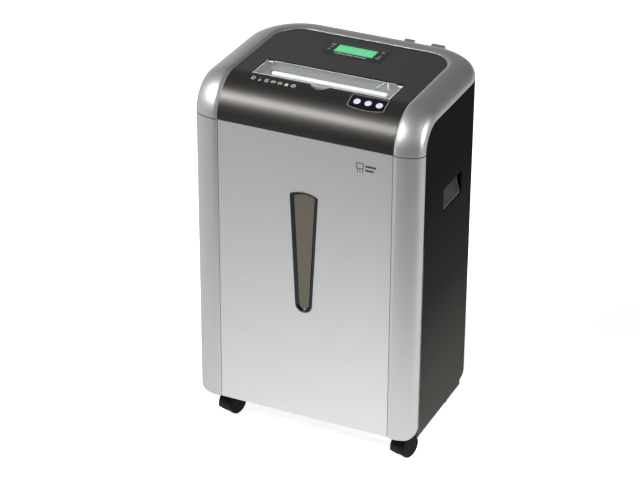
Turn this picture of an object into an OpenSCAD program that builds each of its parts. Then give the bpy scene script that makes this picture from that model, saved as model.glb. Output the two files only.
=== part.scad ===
// Free-standing office paper shredder with a pull-out waste bin.
// Origin: centre of the footprint at floor level. +X right, +Y back, +Z up.

/* [Cabinet] */
// Width over the side panels
body_w = 390; // [380:1:400]
// Depth from the front crown to the back of the rear cover
body_d = 298; // [290:1:306]
// Height of the hood's crown above the floor
body_h = 629; // [620:1:640]
// Height of the cabinet's bottom edge above the floor
floor_gap = 55; // [55:1:56]
// Thickness of the moulded walls
wall = 3; // [3]
// Plan radius of the two rear corners
rear_r = 93; // [90:1:94]
// Radius between the rear cover and its bottom edge
foot_r = 12; // [8:1:14]
// How far the rear lugs stand out
lug_d = 6; // [4:1:8]

/* [Silver band] */
// Width of the rounded band of the pillars and the hood
band_w = 45; // [43:1:47]
// How far the band falls from its crown to the side
band_drop = 23.5; // [22:0.5:25]
// Width of the bevel on the band's inner edge
band_bevel = 5; // [4:0.5:6]
// How far the door and the top cover lie below the crown
step = 2.5; // [2:0.5:3]
// Radius of the hood's crown between front and top
crown_r = 64.5; // [62:0.5:66]
// Radius of the pillars' bottom corners
pillar_r = 18; // [14:1:22]
// Gap at the seam between hood and cabinet
seam_gap = 1.5; // [1:0.1:2]

/* [Waste bin] */
// How far the waste bin pulls out
bin_travel = 240; // [200:10:250]
// Half the outer width of the bin
bin_hw = 140; // [136:1:140]
// Height of the bin's rim above the floor
bin_top = 462; // [440:1:466]
// Wall of the bin
bin_wall = 2.5; // [2:0.5:3]

/* [Window] */
// Half the window's width at its top corners
win_top_hw = 24.5; // [22:0.5:26]
// Half the window's width at its bottom
win_low_hw = 15; // [13:0.5:16]
// Height of the window's top corners
win_top_z = 461.5; // [455:0.5:466]
// Height of the window's lowest point
win_low_z = 251; // [245:1:260]
// Rise of the arch over the top corners
win_arch = 6.5; // [5:0.5:8]
// Width of the window frame's ring
win_ring = 7.6; // [6:0.2:9]

/* [Feed] */
// Middle of the paper slot, front to back
slot_y = -50; // [-52:0.5:-48]
// Length of the paper slot
slot_len = 220; // [216:1:220]
// Width of the paper slot
slot_w = 8; // [7:0.5:8]
// Half the length of the flap
flap_hw = 118; // [116:0.5:119]
// Front edge of the flap
flap_front = -90; // [-91:0.5:-89]
// Rear edge of the flap
flap_rear = -32; // [-33:0.5:-31]
// Thickness of the flap
flap_t = 2.5; // [2:0.5:3]

/* [Cutting block] */
// Radius of the cutting discs
disc_r = 19; // [18:0.5:19]
// Radius of the shaft between the discs
core_r = 10; // [9:0.5:10]
// Distance between the two cutter shafts
cutter_gap = 32; // [32]
// Discs on each shaft
disc_count = 19; // [15:1:19]
// Thickness of a disc
disc_t = 5.2; // [4.8:0.1:5.2]
// Pitch of the discs along one shaft
disc_pitch = 11.6; // [11.4:0.1:11.6]
// Height of the shafts above the floor
axis_z = 535; // [535]
// Radius of the shaft ends in their bushes
journal_r = 8; // [7:0.5:8]

/* [Controls] */
// Angle of the key panel round the hood's front curve
key_angle = 70.5; // [68:0.5:72]
// Distance between keys
key_pitch = 18.7; // [18:0.1:19]
// Middle key, left to right
key_x = 90.4; // [88:0.2:92]
// Radius of a key
key_r = 6.5; // [6:0.1:6.6]
// How far a key is pressed
key_travel = 1.2; // [0.8:0.1:1.2]

/* [Casters] */
// Radius of the caster wheels
wheel_r = 20; // [19:0.5:20]
// Front left swivel, distance from the middle plane
caster_left_x = 153; // [153:1:158]
// Front right swivel, distance from the middle plane
caster_right_x = 161; // [155:1:163]
// Rear swivels, distance from the middle plane
caster_rear_x = 154; // [153:1:158]
// Front swivels, front to back
caster_front_y = -115; // [-116:1:-110]
// Rear swivels, front to back
caster_rear_y = 63; // [60:1:68]
// Distance from swivel to axle
caster_trail = 10; // [9:0.5:12]
// Turn of the front casters about their swivels
caster_front_turn = 166; // [150:1:210]
// Turn of the rear casters about their swivels
caster_rear_turn = 190; // [150:1:210]

/* [Hidden] */
$fn = 64;

// The box's front and back stand at equal distances from the origin.
crown_y = -(body_d + lug_d) / 2;
rear_y = crown_y + body_d;
half_w = body_w / 2;
door_hw = half_w - band_w;
face_y = crown_y + step;
top_z = body_h - step;
arc_y = crown_y + crown_r;
arc_z = body_h - crown_r;
face_r = crown_r - step;
corner_x = half_w - rear_r;
corner_y = rear_y - rear_r;
panel_top_z = body_h - band_drop - 0.7;
panel_front_y = crown_y + band_drop + 0.7;
plate_t = 6;
deck_z = 477;
deck_top_z = deck_z + plate_t;
play = 0.3;

// Rounded part of the band: a large arc over the crown runs into a small one at the side.
side_r = 17;
over_w = band_w - band_bevel;
over_r = (pow(over_w - side_r, 2) + band_drop * band_drop - side_r * side_r)
    / (2 * (band_drop - side_r));
join_a = atan2(over_r - band_drop, over_w - side_r);

// Drive train
front_axis_y = slot_y - cutter_gap / 2;
rear_axis_y = slot_y + cutter_gap / 2;
sync_m = 2;
sync_teeth = 16;
slow_m = 2;
slow_pinion_teeth = 12;
slow_gear_teeth = 42;
fast_m = 1.5;
fast_pinion_teeth = 12;
fast_gear_teeth = 48;
mid_axis_y = rear_axis_y + slow_m * (slow_pinion_teeth + slow_gear_teeth) / 2;
motor_y = mid_axis_y + fast_m * (fast_pinion_teeth + fast_gear_teeth) / 2;
motor_r = 44;
motor_shaft_r = 5;
pin_r = 6;
side_plate_x = 114.5;
bush_r = 12;
run = 0.05;

// ---------------------------------------------------------------- shared shapes

function arc(cx, cy, r, from, to, n) =
    [for (i = [0 : n]) let (a = from + (to - from) * i / n) [cx + r * cos(a), cy + r * sin(a)]];

// Points across the band: u runs outwards from its inner edge, v up from its crown.
function band_points(skirt) = concat(
    [[0, -skirt], [0, -step]],
    arc(band_bevel, -over_r, over_r, 90, join_a, 6),
    arc(band_w - side_r, -band_drop, side_r, join_a, 0, 6),
    arc(band_w - side_r, -band_drop, side_r - wall, 0, join_a, 6),
    arc(band_bevel, -over_r, over_r - wall, join_a, 90, 6),
    [[wall, -step - wall / 2], [wall, -skirt]]);

// Sweeps an outline along X: its first axis becomes Y and its second Z.
module along_x(from, to) {
    translate([from, 0, 0]) rotate([90, 0, 90]) linear_extrude(to - from) children();
}

// Sweeps an outline along Y: its first axis stays X and its second becomes Z.
module along_y(from, to) {
    translate([0, to, 0]) rotate([90, 0, 0]) linear_extrude(to - from) children();
}

module both_sides() {
    children();
    mirror([1, 0, 0]) children();
}

module box(low, high) {
    translate(low) cube(high - low);
}

module rounded_rect(low, high, r) {
    translate([low[0] + r, low[1]]) square([high[0] - low[0] - 2 * r, high[1] - low[1]]);
    translate([low[0], low[1] + r]) square([high[0] - low[0], high[1] - low[1] - 2 * r]);
    for (x = [low[0] + r, high[0] - r], y = [low[1] + r, high[1] - r])
        translate([x, y]) circle(r);
}

// Plan of a floor inside the shell: straight sides, two round rear corners.
module floor_plan(side_x, rear_corner) {
    translate([-side_x, -126]) square([2 * side_x, corner_y - 0.5 + 126]);
    translate([-corner_x, corner_y - 1]) square([2 * corner_x, rear_corner + 1]);
    for (s = [-1, 1]) translate([s * corner_x, corner_y]) circle(rear_corner);
}

// Things on the hood's front curve: Z points out of the surface, Y up along it.
module on_front_curve() {
    translate([0, arc_y, arc_z]) rotate([90 - key_angle, 0, 0]) children();
}

// Involute spur gear with stub teeth and a little backlash.
function involute(a) = tan(a) * 180 / PI - a;
function tooth_half(r, rb, half) = half + involute(20) - involute(acos(min(1, rb / r)));
function gear_points(m, teeth) =
    let (rp = m * teeth / 2, rb = rp * cos(20), tip = rp + 0.7 * m, root = rp - 0.95 * m,
        half = 90 / teeth - 0.09 * m / rp * 180 / PI, start = max(rb, root),
        flank = [for (k = [0 : 3]) start + (tip - start) * k / 3])
    [for (i = [0 : teeth - 1], k = [0 : 9])
        let (c = 360 * i / teeth,
            r = k == 0 || k == 9 ? root : flank[k < 5 ? k - 1 : 8 - k],
            a = tooth_half(max(r, start), rb, half) * (k < 5 ? -1 : 1))
        [r * cos(c + a), r * sin(c + a)]];

module gear_blank(m, teeth, turn, y, from, to) {
    along_x(from, to) translate([y, axis_z]) rotate(turn) polygon(gear_points(m, teeth));
}

module gear(m, teeth, turn, y, from, to, bore) {
    difference() {
        gear_blank(m, teeth, turn, y, from, to);
        shaft(y, from - 1, to + 1, bore);
    }
}

module shaft(y, from, to, r) {
    along_x(from, to) translate([y, axis_z]) circle(r);
}

// ---------------------------------------------------------------- cabinet

socket_r = 8.5;
stem_r = 5;
socket_top = floor_gap + 29;
front_left = [-caster_left_x, caster_front_y, 0];
front_right = [caster_right_x, caster_front_y, 0];
rear_left = [-caster_rear_x, caster_rear_y, 0];
rear_right = [caster_rear_x, caster_rear_y, 0];

module at_casters() {
    for (c = [front_left, front_right, rear_left, rear_right]) translate(c) children();
}

module base_plate() {
    color("#1b1c1e") difference() {
        translate([0, 0, floor_gap]) linear_extrude(plate_t)
            floor_plan(half_w - wall, rear_r - foot_r - wall - play);
        at_casters() cylinder(h = 200, r = socket_r);
    }
}

module caster_sockets() {
    color("#8c8f92") at_casters() difference() {
        translate([0, 0, floor_gap]) cylinder(h = socket_top - floor_gap, r = socket_r - 0.02);
        translate([0, 0, floor_gap - 1]) cylinder(h = socket_top - floor_gap - 2, r = stem_r + run);
    }
}

grip_y = [-49.5, 27];
grip_z = [429.5, 469];
grip_roof = grip_z[1] + 24;
grip_depth = 0.27 * (grip_roof - grip_z[0]);

module side_panel() {
    color("#232323") difference() {
        along_x(half_w - wall, half_w) polygon(concat(
            [[panel_front_y, floor_gap], [corner_y - 0.3, floor_gap],
             [corner_y - 0.3, panel_top_z], [arc_y, panel_top_z]],
            arc(arc_y, arc_z, panel_top_z - arc_z, 90, 180, 12)));
        box([half_w - 10, grip_y[0], grip_z[0]], [half_w + 1, grip_y[1], grip_z[1]]);
    }
}
module right_side_panel() side_panel();
module left_side_panel() mirror([1, 0, 0]) side_panel();

// A pocket whose back leans inwards behind the opening's upper edge; its rear end is open.
module grip_cup() {
    skin = half_w - wall;
    deep = skin - grip_depth;
    color("#2c2b29") difference() {
        along_y(grip_y[0] - 2.5, grip_y[1]) polygon([[skin, grip_z[0] - 6],
            [deep - 2.6, grip_roof - 4], [deep - 2.6, grip_roof + 2.5], [skin, grip_roof + 2.5]]);
        along_y(grip_y[0], grip_y[1] + 1) polygon([[skin + 1, grip_z[0]], [skin, grip_z[0]],
            [deep, grip_roof], [skin - 2.5, grip_roof], [skin - 2.5, grip_z[1]],
            [skin + 1, grip_z[1]]]);
    }
}
module right_grip_cup() grip_cup();
module left_grip_cup() mirror([1, 0, 0]) grip_cup();

// Wall of the rear cover: r runs outwards from the corner's axis, z up.
function rear_wall_points() =
    let (bend = rear_r - foot_r, low = floor_gap + foot_r)
    concat([[rear_r - wall, panel_top_z], [rear_r, panel_top_z]],
        arc(bend, low, foot_r, 0, -90, 8),
        [[bend - wall, floor_gap], [bend - wall, floor_gap + wall]],
        arc(bend, low, foot_r - wall, -90, 0, 8));

inlet_x = 70;
inlet_z = 530;
inlet_w = 28;
inlet_h = 50;
screw_spots = [for (x = [-97, 97], z = [110, 340, 572]) [x, z]];

module rear_cover() {
    color("#1f1f1f") difference() {
        union() {
            along_x(-corner_x, corner_x) translate([corner_y, 0]) polygon(rear_wall_points());
            both_sides() translate([corner_x, corner_y, 0]) rotate_extrude(angle = 90)
                polygon(rear_wall_points());
        }
        box([inlet_x - inlet_w / 2, rear_y - 10, inlet_z - inlet_h / 2],
            [inlet_x + inlet_w / 2, rear_y + 1, inlet_z + inlet_h / 2]);
        for (column = [-86, -26], row = [0 : 7])
            box([column, rear_y - 10, 500 + 9 * row], [column + 52, rear_y + 1, 503.2 + 9 * row]);
        for (s = screw_spots)
            along_y(rear_y - 10, rear_y + 1) translate(s) circle(1.6);
    }
}

module cover_screws() {
    color("#9a9a9a") for (s = screw_spots) {
        along_y(rear_y, rear_y + 1.6) translate(s) difference() {
            circle(3.6);
            square([3.4, 0.8], center = true);
            square([0.8, 3.4], center = true);
        }
        along_y(rear_y - 9, rear_y + 0.2) translate(s) circle(1.55);
    }
}

lug_x = [[41, 58], [88, 111]];

module rear_lugs() {
    color("#a8abad") for (x = lug_x)
        box([x[0], rear_y + 0.1, body_h - 32], [x[1], rear_y + lug_d, body_h - 10.5]);
}

module pillar() {
    top = arc_z - seam_gap;
    color("#b9bbbd") intersection() {
        union() {
            translate([door_hw, crown_y, floor_gap]) linear_extrude(top - floor_gap)
                mirror([0, 1]) polygon(band_points(24));
            // the foot of the pillar is closed
            translate([door_hw, crown_y, floor_gap]) linear_extrude(32) mirror([0, 1])
                polygon(concat([[0, -band_drop], [0, -step]],
                    arc(band_bevel, -over_r, over_r, 90, join_a, 6),
                    arc(band_w - side_r, -band_drop, side_r, join_a, 0, 6)));
        }
        along_y(crown_y - 1, 0) {
            translate([door_hw - 1, floor_gap + pillar_r])
                square([band_w + 2, top - floor_gap]);
            translate([door_hw - 1, floor_gap]) square([band_w + 1 - pillar_r, pillar_r + 1]);
            translate([half_w - pillar_r, floor_gap + pillar_r]) circle(pillar_r);
        }
    }
}
module right_pillar() pillar();
module left_pillar() mirror([1, 0, 0]) pillar();

// ---------------------------------------------------------------- hood

module hood_rim() {
    color("#b9bbbd") {
        both_sides() {
            translate([0, arc_y, arc_z]) rotate([0, 90, 0]) rotate([0, 0, 180])
                rotate_extrude(angle = 90)
                    polygon([for (p = band_points(12)) [crown_r + p[1], door_hw + p[0]]]);
            along_y(arc_y, corner_y) translate([door_hw, body_h]) polygon(band_points(12));
            translate([corner_x, corner_y, 0]) rotate_extrude(angle = 90)
                translate([rear_r - band_w, body_h]) polygon(band_points(12));
        }
        along_x(-corner_x, corner_x) translate([rear_y - band_w, body_h]) polygon(band_points(12));
    }
}

// Everything under the cover's outer surface, drawn in by a wall's thickness.
module under_cover(inset) {
    hw = door_hw - 0.6 - inset;
    r = face_r - inset;
    intersection() {
        along_x(-hw, hw) intersection() {
            union() {
                translate([arc_y, arc_z]) circle(r);
                translate([arc_y, arc_z]) square([260, r]);
            }
            translate([arc_y - 100, arc_z]) square([400, 100]);
        }
        translate([0, 0, arc_z - 1]) linear_extrude(100) {
            translate([-hw, crown_y]) square([2 * hw, corner_y - crown_y]);
            translate([-corner_x, crown_y]) square([2 * corner_x,
                corner_y - crown_y + rear_r - band_w - 0.6 - inset]);
            for (s = [-1, 1]) translate([s * corner_x, corner_y])
                circle(rear_r - band_w - 0.6 - inset);
        }
    }
}

lcd_low = [-55.5, 24.5];
lcd_high = [49.5, 72.5];
screen_low = [-37.5, 39];
screen_high = [30, 67];
scoop_r = 18.7;

// Outline of the key panel: flat top, round bottom.
module key_outline(grow) {
    low_r = (pow(31.2, 2) + 4.4 * 4.4) / (2 * 4.4);
    translate([key_x - 1.2, 0]) intersection() {
        translate([-31.2 - grow, -30]) square([62.4 + 2 * grow, 42.8 + grow]);
        translate([0, low_r - 17.2]) circle(low_r + grow, $fn = 128);
    }
}

module top_cover() {
    color("#343331") difference() {
        union() {
            difference() {
                under_cover(0);
                under_cover(wall);
            }
            // thick pad under the finger scoop
            intersection() {
                under_cover(0.5);
                box([-24, flap_front - 24, top_z - 14], [24, flap_front - 4, top_z]);
            }
        }
        // the skirt stops short of the cutting block and its gears
        box([-half_w, arc_y - 4, arc_z - 2], [half_w, rear_y, plate_top + 6]);
        along_x(-flap_hw - 3.4, flap_hw + 3.4) translate([hinge_y, hinge_z]) circle(hinge_pin_r + 0.1);
        box([-flap_hw - 0.6, flap_front - 0.6, top_z - 20],
            [flap_hw + 0.6, flap_rear + 0.6, top_z + 1]);
        intersection() {
            translate([0, flap_front + 4, top_z + 8.5]) sphere(r = 19.5);
            box([-30, flap_front - 30, top_z - 30], [30, flap_front, top_z + 10]);
        }
        box([lcd_low[0] - play, lcd_low[1] - play, top_z - 10],
            [lcd_high[0] + play, lcd_high[1] + play, top_z + 1]);
        on_front_curve() translate([0, 0, 50]) linear_extrude(30) key_outline(play);
    }
}

tray_z = top_z - 10.5;
nozzle_z = axis_z + disc_r + 3;
throat_z = 590;

// Tray under the flap, with the funnel that leads paper down to the cutters.
module feed_funnel() {
    half_slot = slot_len / 2;
    low = [-flap_hw - 3, flap_front - 3.2];
    high = [flap_hw + 3, flap_rear + 3.2];
    edge_z = top_z - wall - 0.6;
    color("#7c8186") difference() {
        union() {
            box([low[0], low[1], tray_z - 2.5], [high[0], high[1], edge_z]);
            along_x(-half_slot - 3, half_slot + 3) polygon([
                [slot_y - 15, tray_z - 1], [slot_y + 15, tray_z - 1],
                [slot_y + slot_w / 2 + 3, throat_z - 2], [slot_y + slot_w / 2 + 3, nozzle_z],
                [slot_y - slot_w / 2 - 3, nozzle_z], [slot_y - slot_w / 2 - 3, throat_z - 2]]);
        }
        box([low[0] + 2.4, low[1] + 2.4, tray_z], [high[0] - 2.4, high[1] - 2.4, edge_z + 1]);
        along_x(-half_slot, half_slot) polygon([
            [slot_y - 12, tray_z + 1], [slot_y + 12, tray_z + 1],
            [slot_y + slot_w / 2, throat_z], [slot_y + slot_w / 2, nozzle_z - 1],
            [slot_y - slot_w / 2, nozzle_z - 1], [slot_y - slot_w / 2, throat_z]]);
        for (s = [-1, 1]) along_x(s > 0 ? flap_hw - 1 : -flap_hw - 4, s > 0 ? flap_hw + 4 : 1 - flap_hw)
            translate([hinge_y, hinge_z]) circle(hinge_pin_r);
    }
}

guide_y = slot_y - 15.5;
guide_r = 3.6;
guide_x = [-95, 104];

// A round bar, flat underneath, with round ends.
module guide_bar() {
    color("#e9e9e6") intersection() {
        translate([0, guide_y, tray_z + guide_r - 0.4]) {
            rotate([0, 90, 0]) translate([0, 0, guide_x[0] + guide_r])
                cylinder(h = guide_x[1] - guide_x[0] - 2 * guide_r, r = guide_r);
            for (x = [guide_x[0] + guide_r, guide_x[1] - guide_r]) translate([x, 0, 0]) sphere(r = guide_r);
        }
        box([-110, guide_y - 10, tray_z], [110, guide_y + 10, tray_z + 10]);
    }
}

// ---------------------------------------------------------------- flap

hinge_y = flap_rear - 3.2;
hinge_z = top_z - 3.4;
hinge_pin_r = 1.2;
knuckle_r = 2.9;

module safety_flap() {
    tab_hw = 15;
    tab_d = 4.5;
    tab_r = (tab_hw * tab_hw + tab_d * tab_d) / (2 * tab_d);
    under = top_z - 0.4 - flap_t;
    color([0.86, 0.9, 0.92, 0.45]) difference() {
        union() {
            translate([0, 0, under]) linear_extrude(flap_t) {
                translate([-flap_hw, flap_front]) square([2 * flap_hw, hinge_y - flap_front]);
                intersection() {
                    translate([0, flap_front - tab_d + tab_r]) circle(tab_r);
                    translate([-30, flap_front - 10]) square([60, 20]);
                }
            }
            for (x = [-flap_hw, flap_hw - 12])
                along_x(x, x + 12) translate([hinge_y, hinge_z]) circle(knuckle_r);
            // two clear ribs in a V reach the flap's sensor
            for (p = [[86, -12], [92, 25]])
                translate([p[0], hinge_y - 3.5, under - 3.2]) rotate([0, 0, p[1]])
                    translate([-0.8, -22, 0]) cube([1.6, 22, 3.4]);
        }
        for (x = [-flap_hw - 1, flap_hw - 13])
            along_x(x, x + 14) translate([hinge_y, hinge_z]) circle(hinge_pin_r + run);
    }
}

module flap_pins() {
    color("#c9c9c9") both_sides()
        along_x(flap_hw - 11, flap_hw + 3) translate([hinge_y, hinge_z]) circle(hinge_pin_r - 0.01);
}

module flap_sensor() {
    color("#15161a") difference() {
        box([82, flap_rear + 3.4, tray_z - 10], [100, flap_rear + 12, tray_z + 2]);
        box([88, flap_rear + 3, tray_z - 6], [94, flap_rear + 13, tray_z + 3]);
    }
}

// ---------------------------------------------------------------- display and keys

module lcd_bezel() {
    color("#141a24") difference() {
        box([lcd_low[0], lcd_low[1], top_z - wall], [lcd_high[0], lcd_high[1], top_z + 0.3]);
        box([screen_low[0], screen_low[1], top_z - 10], [screen_high[0], screen_high[1], top_z + 1]);
    }
}

module lcd_module() {
    color("#54b87c") {
        box([screen_low[0] + 0.2, screen_low[1] + 0.2, top_z - wall - 1],
            [screen_high[0] - 0.2, screen_high[1] - 0.2, top_z - 0.2]);
        box([-50, 28, top_z - wall - 6], [44, 70, top_z - wall - 0.2]);
        box([-54, 26, top_z - wall - 8], [48, 72, top_z - wall - 6]);
    }
}

module key_bezel() {
    color("#0e0f12") difference() {
        intersection() {
            along_x(0, 160) translate([arc_y, arc_z]) difference() {
                circle(face_r + 0.4);
                circle(face_r - wall);
            }
            on_front_curve() translate([0, 0, 40]) linear_extrude(40) key_outline(0);
        }
        on_front_curve() for (i = [-1 : 1])
            translate([key_x + i * key_pitch, key_s, 30]) cylinder(h = 60, r = key_r + play);
    }
}

key_s = -2.7;
board_r = 46;

module key_board() {
    color("#1d5a38") on_front_curve() {
        box([58, -14, board_r], [121, 8, board_r + 1.6]);
        for (i = [-1 : 1]) translate([key_x + i * key_pitch, key_s, board_r + 1.6])
            translate([-3, -3, 0]) cube([6, 6, 3.4]);
        for (x = [61, 118]) translate([x, -9, board_r + 1]) cylinder(h = 9, r = 1.6);
    }
}

module key(i) {
    foot = board_r + 5 + key_travel + play;
    color("#e4e6fb") on_front_curve() translate([key_x + i * key_pitch, key_s, 0]) {
        translate([0, 0, face_r - 2.5]) cylinder(h = 3.6, r = key_r);
        translate([0, 0, foot]) cylinder(h = face_r - 2.4 - foot, r = 2.5);
    }
}
module stop_key() key(-1);
module reverse_key() key(0);
module forward_key() key(1);

// ---------------------------------------------------------------- cutting block

chute_hw = 108;

module deck() {
    color("#55585b") difference() {
        translate([0, 0, deck_z]) linear_extrude(plate_t) floor_plan(half_w - wall, rear_r - wall - play);
        box([-chute_hw, front_axis_y - 22, 0], [chute_hw, rear_axis_y + 22, 600]);
        both_sides() box([half_w - wall - grip_depth - 4, grip_y[0] - 4, 0],
            [half_w + 1, grip_y[1] + 4, 600]);
    }
}

rods = [for (y = [front_axis_y - 26, rear_axis_y + 28], z = [502, 572]) [y, z]];
plate_top = 584;
plate_front = front_axis_y - 40;

module cutter_plate(rear) {
    color("#9da0a2") {
        along_x(side_plate_x, side_plate_x + wall) difference() {
            translate([plate_front, deck_top_z])
                square([rear - plate_front, plate_top - deck_top_z]);
            for (y = [front_axis_y, rear_axis_y]) translate([y, axis_z]) circle(bush_r);
            for (p = rods) translate(p) circle(4);
            if (rear > 50) {
                translate([motor_y, axis_z]) circle(bush_r);
                translate([mid_axis_y, axis_z]) circle(pin_r);
            }
        }
        box([side_plate_x + wall, plate_front, deck_top_z],
            [side_plate_x + 18, rear, deck_top_z + wall]);
    }
}
module right_cutter_plate() cutter_plate(rear_axis_y + 40);
module left_cutter_plate() mirror([1, 0, 0]) cutter_plate(motor_y + 50);

module cutter_bushes() {
    color("#b08d57") both_sides() for (y = [front_axis_y, rear_axis_y])
        along_x(side_plate_x - 2, side_plate_x + wall + 1) translate([y, axis_z]) difference() {
            circle(bush_r - 0.02);
            circle(journal_r + run);
        }
}

module tie_rods() {
    color("#c2c4c6") for (p = rods) {
        along_x(-side_plate_x - wall - 4, side_plate_x + wall + 4) translate(p) circle(3.98);
        for (x = [-side_plate_x - wall - 3.2, side_plate_x + wall])
            along_x(x, x + 3.2) translate(p) circle(7, $fn = 6);
        for (x = [-side_plate_x, side_plate_x - 2]) along_x(x, x + 2) translate(p) circle(6);
    }
}

// Saw-toothed cutting disc
hooks = 12;
function disc_points(sense) = [for (i = [0 : hooks - 1], k = [0, 1])
    let (a = sense * (360 * i / hooks + 5 * k), r = disc_r - 2.4 * k) [r * cos(a), r * sin(a)]];

first_disc_x = -disc_count * disc_pitch / 2;

module cutter(y, shift, sense, left_end) {
    color("#8f9396") {
        shaft(y, left_end, side_plate_x + wall + 2, journal_r);
        shaft(y, first_disc_x - 1, -first_disc_x + 1, core_r);
        for (i = [0 : disc_count - 1])
            along_x(first_disc_x + shift + i * disc_pitch, first_disc_x + shift + i * disc_pitch + disc_t)
                translate([y, axis_z]) polygon(disc_points(sense));
    }
}
disc_side = (disc_pitch / 2 - disc_t) / 2;
module front_cutter() cutter(front_axis_y, disc_side, 1, -129);
module rear_cutter() cutter(rear_axis_y, disc_side + disc_pitch / 2, -1, -159);

sync_x = [-128, -120];
slow_x = [-141, -131];
fast_x = [-152, -144];
gearbox_x = [-158, -155];
grip_fit = 0.02;

module front_sync_gear() {
    color("#6f7376") gear(sync_m, sync_teeth, 0, front_axis_y, sync_x[0], sync_x[1],
        journal_r + grip_fit);
}

module rear_sync_gear() {
    color("#6f7376") gear(sync_m, sync_teeth, 180 / sync_teeth, rear_axis_y, sync_x[0], sync_x[1],
        journal_r + grip_fit);
}

module final_gear() {
    color("#6f7376") gear(slow_m, slow_gear_teeth, 0, rear_axis_y, slow_x[0], slow_x[1],
        journal_r + grip_fit);
}

module intermediate_gear() {
    color("#d8d4c4") difference() {
        union() {
            gear_blank(slow_m, slow_pinion_teeth, 180 / slow_pinion_teeth, mid_axis_y,
                slow_x[0] - 4, slow_x[1] + 1);
            gear_blank(fast_m, fast_gear_teeth, 0, mid_axis_y, fast_x[0], fast_x[1]);
        }
        shaft(mid_axis_y, fast_x[0] - 1, slow_x[1] + 2, pin_r + run);
    }
}

module intermediate_pin() {
    color("#c2c4c6") shaft(mid_axis_y, gearbox_x[0], -side_plate_x, pin_r - 0.01);
}

gearbox_posts = [for (y = [front_axis_y - 14, motor_y + 18], z = [491, 577]) [y, z]];

module gearbox_plate() {
    color("#9da0a2") {
        along_x(gearbox_x[0], gearbox_x[1]) difference() {
            translate([front_axis_y - 26, deck_top_z])
                square([motor_y + 52 - front_axis_y, plate_top - deck_top_z]);
            translate([rear_axis_y, axis_z]) circle(journal_r + run);
            translate([mid_axis_y, axis_z]) circle(pin_r);
            translate([motor_y, axis_z]) circle(motor_shaft_r + run);
        }
        for (p = gearbox_posts) along_x(gearbox_x[1], -side_plate_x - wall)
            translate(p) circle(4);
    }
}

// Comb of fingers between the discs; sense says which way the fingers point.
module stripper(y, sense, shift) {
    color("#3a3c3e") {
        box([-side_plate_x, y - sense * 28 - 4, axis_z - 6], [side_plate_x, y - sense * 28 + 4, axis_z + 6]);
        for (i = [0 : disc_count - 2]) {
            x = first_disc_x + shift + disc_t + i * disc_pitch + (disc_pitch - disc_t) / 2;
            along_x(x - 2.3, x + 2.3) difference() {
                translate([min(y, y - sense * 26), axis_z - 6]) square([26, 12]);
                translate([y, axis_z]) circle(core_r + 0.8);
            }
        }
    }
}
module front_stripper() stripper(front_axis_y, 1, disc_side);
module rear_stripper() stripper(rear_axis_y, -1, disc_side + disc_pitch / 2);

motor_x = [-side_plate_x, 40];

module motor() {
    color("#3f4347") difference() {
        union() {
            shaft(motor_y, motor_x[0], motor_x[0] + 6, motor_r + 3);
            shaft(motor_y, motor_x[0], motor_x[1], motor_r);
            for (x = [motor_x[0] + 14 : 9 : motor_x[1] - 12])
                shaft(motor_y, x, x + 3, motor_r + 2);
            box([-80, motor_y - 22, deck_top_z], [10, motor_y + 22, axis_z - 30]);
        }
        shaft(motor_y, motor_x[0] - 1, motor_x[1] + 1, motor_shaft_r + run);
        shaft(motor_y, motor_x[0] + 12, motor_x[1] - 12, motor_shaft_r + 3);
    }
}

module motor_pinion() {
    color("#b4b6b8") {
        shaft(motor_y, -159, 58, motor_shaft_r);
        gear_blank(fast_m, fast_pinion_teeth, 180 / fast_pinion_teeth, motor_y,
            fast_x[0] - 1, fast_x[1] + 1);
    }
}

module cooling_fan() {
    color("#d9d9d5") {
        along_x(46, 56) translate([motor_y, axis_z]) difference() {
            circle(9);
            circle(motor_shaft_r + grip_fit);
        }
        for (i = [0 : 7]) along_x(47, 55) translate([motor_y, axis_z]) rotate(45 * i)
            translate([8, -0.9]) square([24, 1.8]);
    }
}

module control_board() {
    low = [136, -70];
    high = [184, 60];
    post = 14.5;
    board = deck_top_z + post;
    color("#1f6a42") {
        box([low[0], low[1], board], [high[0], high[1], board + 1.6]);
        for (x = [low[0] + 5, high[0] - 5], y = [low[1] + 5, high[1] - 5])
            translate([x, y, deck_top_z]) cylinder(h = post, r = 3);
        box([140, -58, board + 1.6], [166, -26, board + 24]);
        box([146, -12, board + 1.6], [172, 8, board + 15]);
        for (y = [20, 34]) translate([154, y, board + 1.6]) cylinder(h = 22, r = 5.5);
        box([175, -50, board + 1.6], [181, 10, board + 9]);
    }
}

rocker_z = inlet_z + 14.5;
rocker_axis_y = rear_y - 0.5;

module power_inlet() {
    hw = inlet_w / 2;
    hh = inlet_h / 2;
    color("#101010") difference() {
        union() {
            box([inlet_x - hw - 3, rear_y, inlet_z - hh - 3], [inlet_x + hw + 3, rear_y + 2, inlet_z + hh + 3]);
            box([inlet_x - hw + 0.2, rear_y - 26, inlet_z - hh + 0.2],
                [inlet_x + hw - 0.2, rear_y, inlet_z + hh - 0.2]);
        }
        // socket for the mains connector
        box([inlet_x - 12, rear_y - 16, inlet_z - 20], [inlet_x + 12, rear_y + 3, inlet_z - 4]);
        // well of the rocker, with its two pivots' bore
        box([inlet_x - 11, rear_y - 12, rocker_z - 8], [inlet_x + 11, rear_y + 3, rocker_z + 8]);
        along_x(inlet_x - 13, inlet_x + 13) translate([rocker_axis_y - 3, rocker_z]) circle(1.5 + run);
    }
    color("#c9b27a") for (x = [-7, 0, 7])
        box([inlet_x + x - 1, rear_y - 16, inlet_z - (x == 0 ? 10 : 16)],
            [inlet_x + x + 1, rear_y - 4, inlet_z - (x == 0 ? 6 : 12)]);
}

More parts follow.
